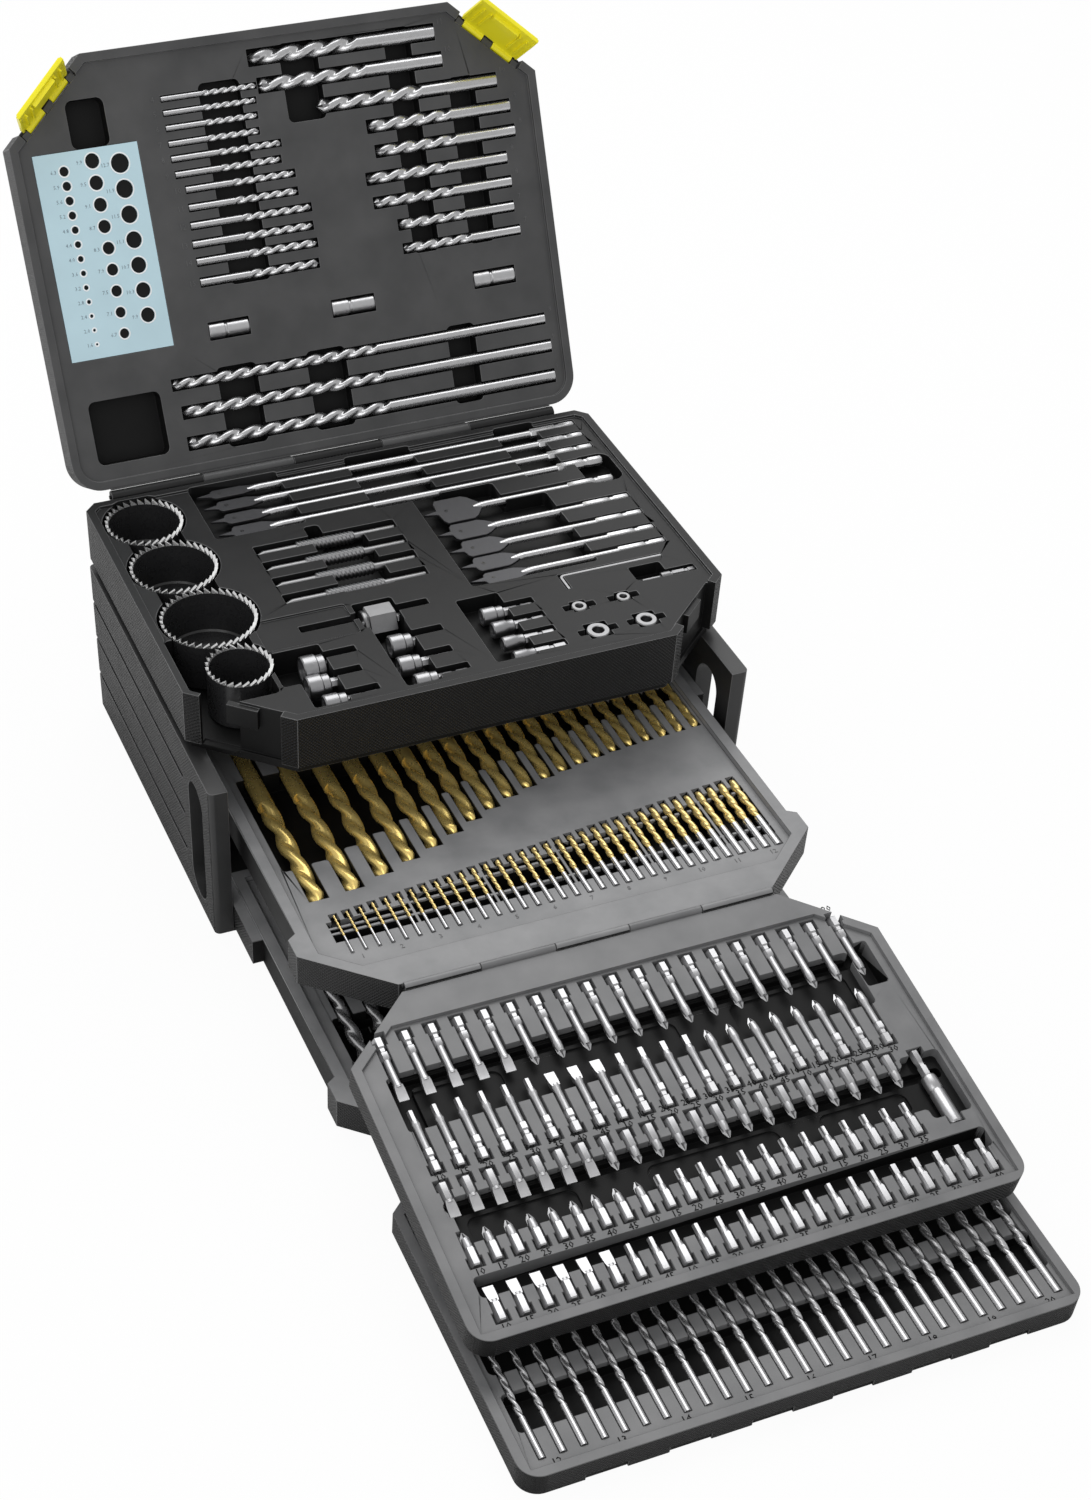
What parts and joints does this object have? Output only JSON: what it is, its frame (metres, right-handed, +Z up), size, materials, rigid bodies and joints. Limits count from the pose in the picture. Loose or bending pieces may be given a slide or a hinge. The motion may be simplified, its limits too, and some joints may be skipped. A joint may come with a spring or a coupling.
{
  "type": "drill bit case",
  "caption": "Open tool case with a hinged lid, a fixed top tray and two sliding drawers, each with a fold-out tray, filled with drill and driver bits.",
  "frame": {"origin": "centre of the underside of the body, on the surface that the case stands on", "axes": "+X to the right, +Y to the back where the lid is hinged, +Z up; the drawers slide out along -Y"},
  "size_m": [0.392, 0.9434, 0.4321],
  "materials": {
    "black_plastic": "satin",
    "blackened_steel": "satin",
    "bright_steel": "satin",
    "hinge_steel": "satin",
    "gold_steel": "satin",
    "yellow_plastic": "satin",
    "blue_plastic": "satin"
  },
  "bodies": {
    "case": {"side_panel_left": "black_plastic", "side_panel_right": "black_plastic", "base_panel": "black_plastic", "rear_panel": "black_plastic", "top_tray": "black_plastic", "hole_saw_1": "blackened_steel", "hole_saw_2": "blackened_steel", "hole_saw_3": "blackened_steel", "hole_saw_4": "blackened_steel", "long_spade_bits": "bright_steel", "short_spade_bits": "bright_steel", "rasp_bits": "blackened_steel", "hole_saw_arbor": "blackened_steel", "pilot_drill": "bright_steel", "nut_setters": "bright_steel", "drill_stops": "bright_steel", "hex_key": "blackened_steel", "step_bit": "bright_steel", "lid_hinge_pin": "hinge_steel"},
    "lid": {"lid_shell": "black_plastic", "gauge_plate": "blue_plastic", "small_masonry_bits": "bright_steel", "medium_masonry_bits": "bright_steel", "long_masonry_bits": "bright_steel", "drill_sleeves": "bright_steel", "latch_pins": "hinge_steel"},
    "latch_left": {"latch_left": "yellow_plastic"},
    "latch_right": {"latch_right": "yellow_plastic"},
    "drawer_1": {"drawer_1_tray": "black_plastic", "large_gold_bits": "gold_steel", "small_gold_bits": "gold_steel", "tray_1_hinge_pin": "hinge_steel"},
    "tray_1": {"tray_1": "black_plastic", "power_bits_row_1": "bright_steel", "power_bits_row_2": "bright_steel", "insert_bits_row_3": "bright_steel", "insert_bits_row_4": "bright_steel", "insert_bits_row_5": "bright_steel", "bit_holder": "bright_steel"},
    "drawer_2": {"drawer_2_tray": "black_plastic", "long_twist_bits": "bright_steel", "tray_2_hinge_pin": "hinge_steel"},
    "tray_2": {"tray_2": "black_plastic", "twist_bits": "bright_steel"}
  },
  "joints": [
    {"name": "lid_hinge", "type": "hinge", "parent": "case", "child": "lid", "pos_m": [0, 0.1495, 0.1659], "axis": [1, 0, 0], "range_deg": [0, 117.6]},
    {"name": "latch_left_hinge", "type": "hinge", "parent": "lid", "child": "latch_left", "pos_m": [-0.16275, 0.27942, 0.39413], "axis": [0.7495, 0.3067, 0.5867], "range_deg": [-70, 19.5]},
    {"name": "latch_right_hinge", "type": "hinge", "parent": "lid", "child": "latch_right", "pos_m": [0.16275, 0.27942, 0.39413], "axis": [0.7495, -0.3067, -0.5867], "range_deg": [-70, 19.5]},
    {"name": "drawer_1_slide", "type": "slide", "parent": "case", "child": "drawer_1", "axis": [0, -1, 0], "range_m": [-0.1703, 0.081]},
    {"name": "tray_1_hinge", "type": "hinge", "parent": "drawer_1", "child": "tray_1", "pos_m": [0, -0.3143, 0.0863], "axis": [-1, 0, 0], "range_deg": [0, 125]},
    {"name": "drawer_2_slide", "type": "slide", "parent": "case", "child": "drawer_2", "axis": [0, -1, 0], "range_m": [-0.2417, 0.01]},
    {"name": "tray_2_hinge", "type": "hinge", "parent": "drawer_2", "child": "tray_2", "pos_m": [0, -0.3857, 0.0258], "axis": [-1, 0, 0], "range_deg": [0, 62.5]}
  ],
  "couplings": [
    {"joint": "tray_2_hinge", "follows": "tray_1_hinge", "ratio": 0.5}
  ]
}
